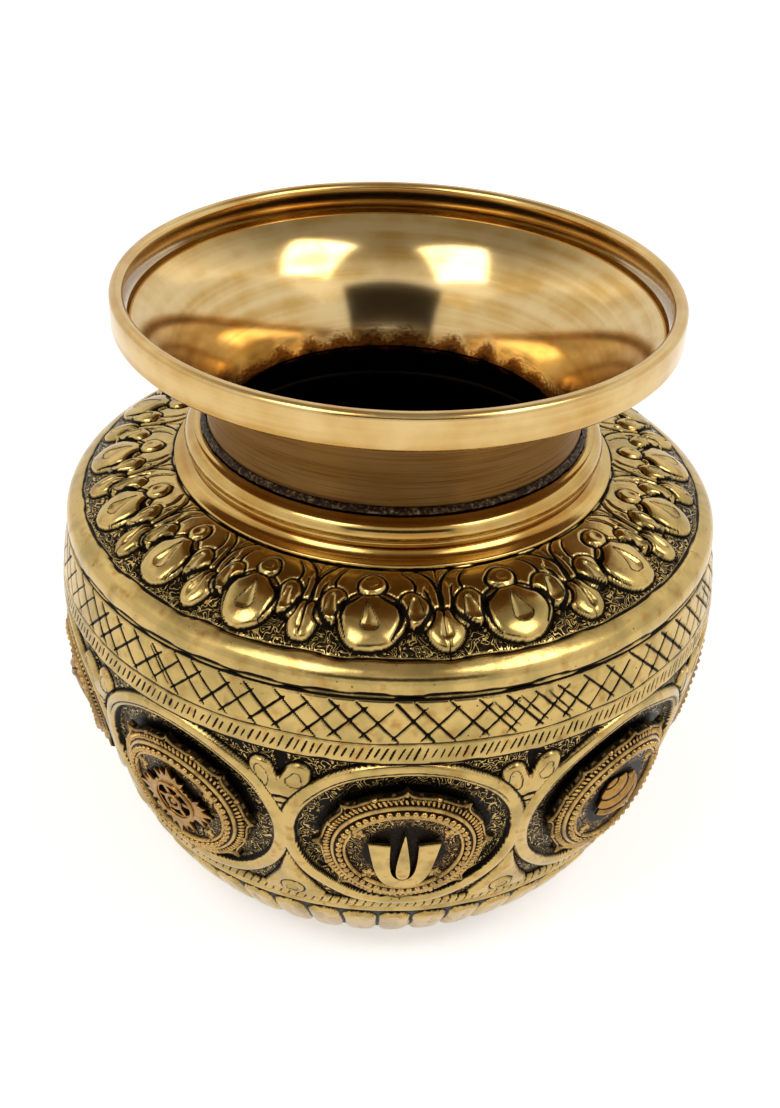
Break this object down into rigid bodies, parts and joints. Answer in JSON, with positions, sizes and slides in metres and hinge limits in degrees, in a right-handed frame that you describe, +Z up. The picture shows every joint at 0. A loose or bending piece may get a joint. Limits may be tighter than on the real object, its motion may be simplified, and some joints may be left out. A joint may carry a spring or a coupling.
{
  "type": "kalash",
  "caption": "Round-bellied brass ritual water pot with cast medallions round its belly, a chased shoulder and a flared mouth on a stepped collar.",
  "frame": {"origin": "centre of the flat foot, on the surface that the pot stands on", "axes": "+Z up through the mouth, one medallion faces -Y, +X to the right of it"},
  "size_m": [0.1426, 0.1413, 0.1311],
  "materials": {
    "chased_brass": "chased and lightly buffed over dark patina",
    "polished_brass": "mirror polished on the lathe",
    "turned_brass": "turned, satin",
    "cast_brass": "cast, with dark patina in the low parts",
    "emblem_brass": "cast, buffed on its raised faces",
    "coppery_brass": "cast, coppery and toned",
    "solder": "rough grey-brown solder"
  },
  "bodies": {
    "root": {"bowl": "chased_brass", "shoulder": "chased_brass", "collar_ring": "chased_brass", "neck_solder": "solder", "neck_and_mouth": "polished_brass", "rim_band": "turned_brass", "medallion_1": "cast_brass", "medallion_2": "cast_brass", "medallion_3": "cast_brass", "medallion_4": "cast_brass", "medallion_5": "cast_brass", "medallion_6": "cast_brass", "medallion_7": "cast_brass", "medallion_8": "cast_brass", "medallion_9": "cast_brass", "namam_1": "emblem_brass", "shankha_2": "coppery_brass", "chakra_3": "coppery_brass", "namam_4": "emblem_brass", "shankha_5": "coppery_brass", "chakra_6": "coppery_brass", "namam_7": "emblem_brass", "shankha_8": "coppery_brass", "chakra_9": "coppery_brass"}
  },
  "joints": []
}
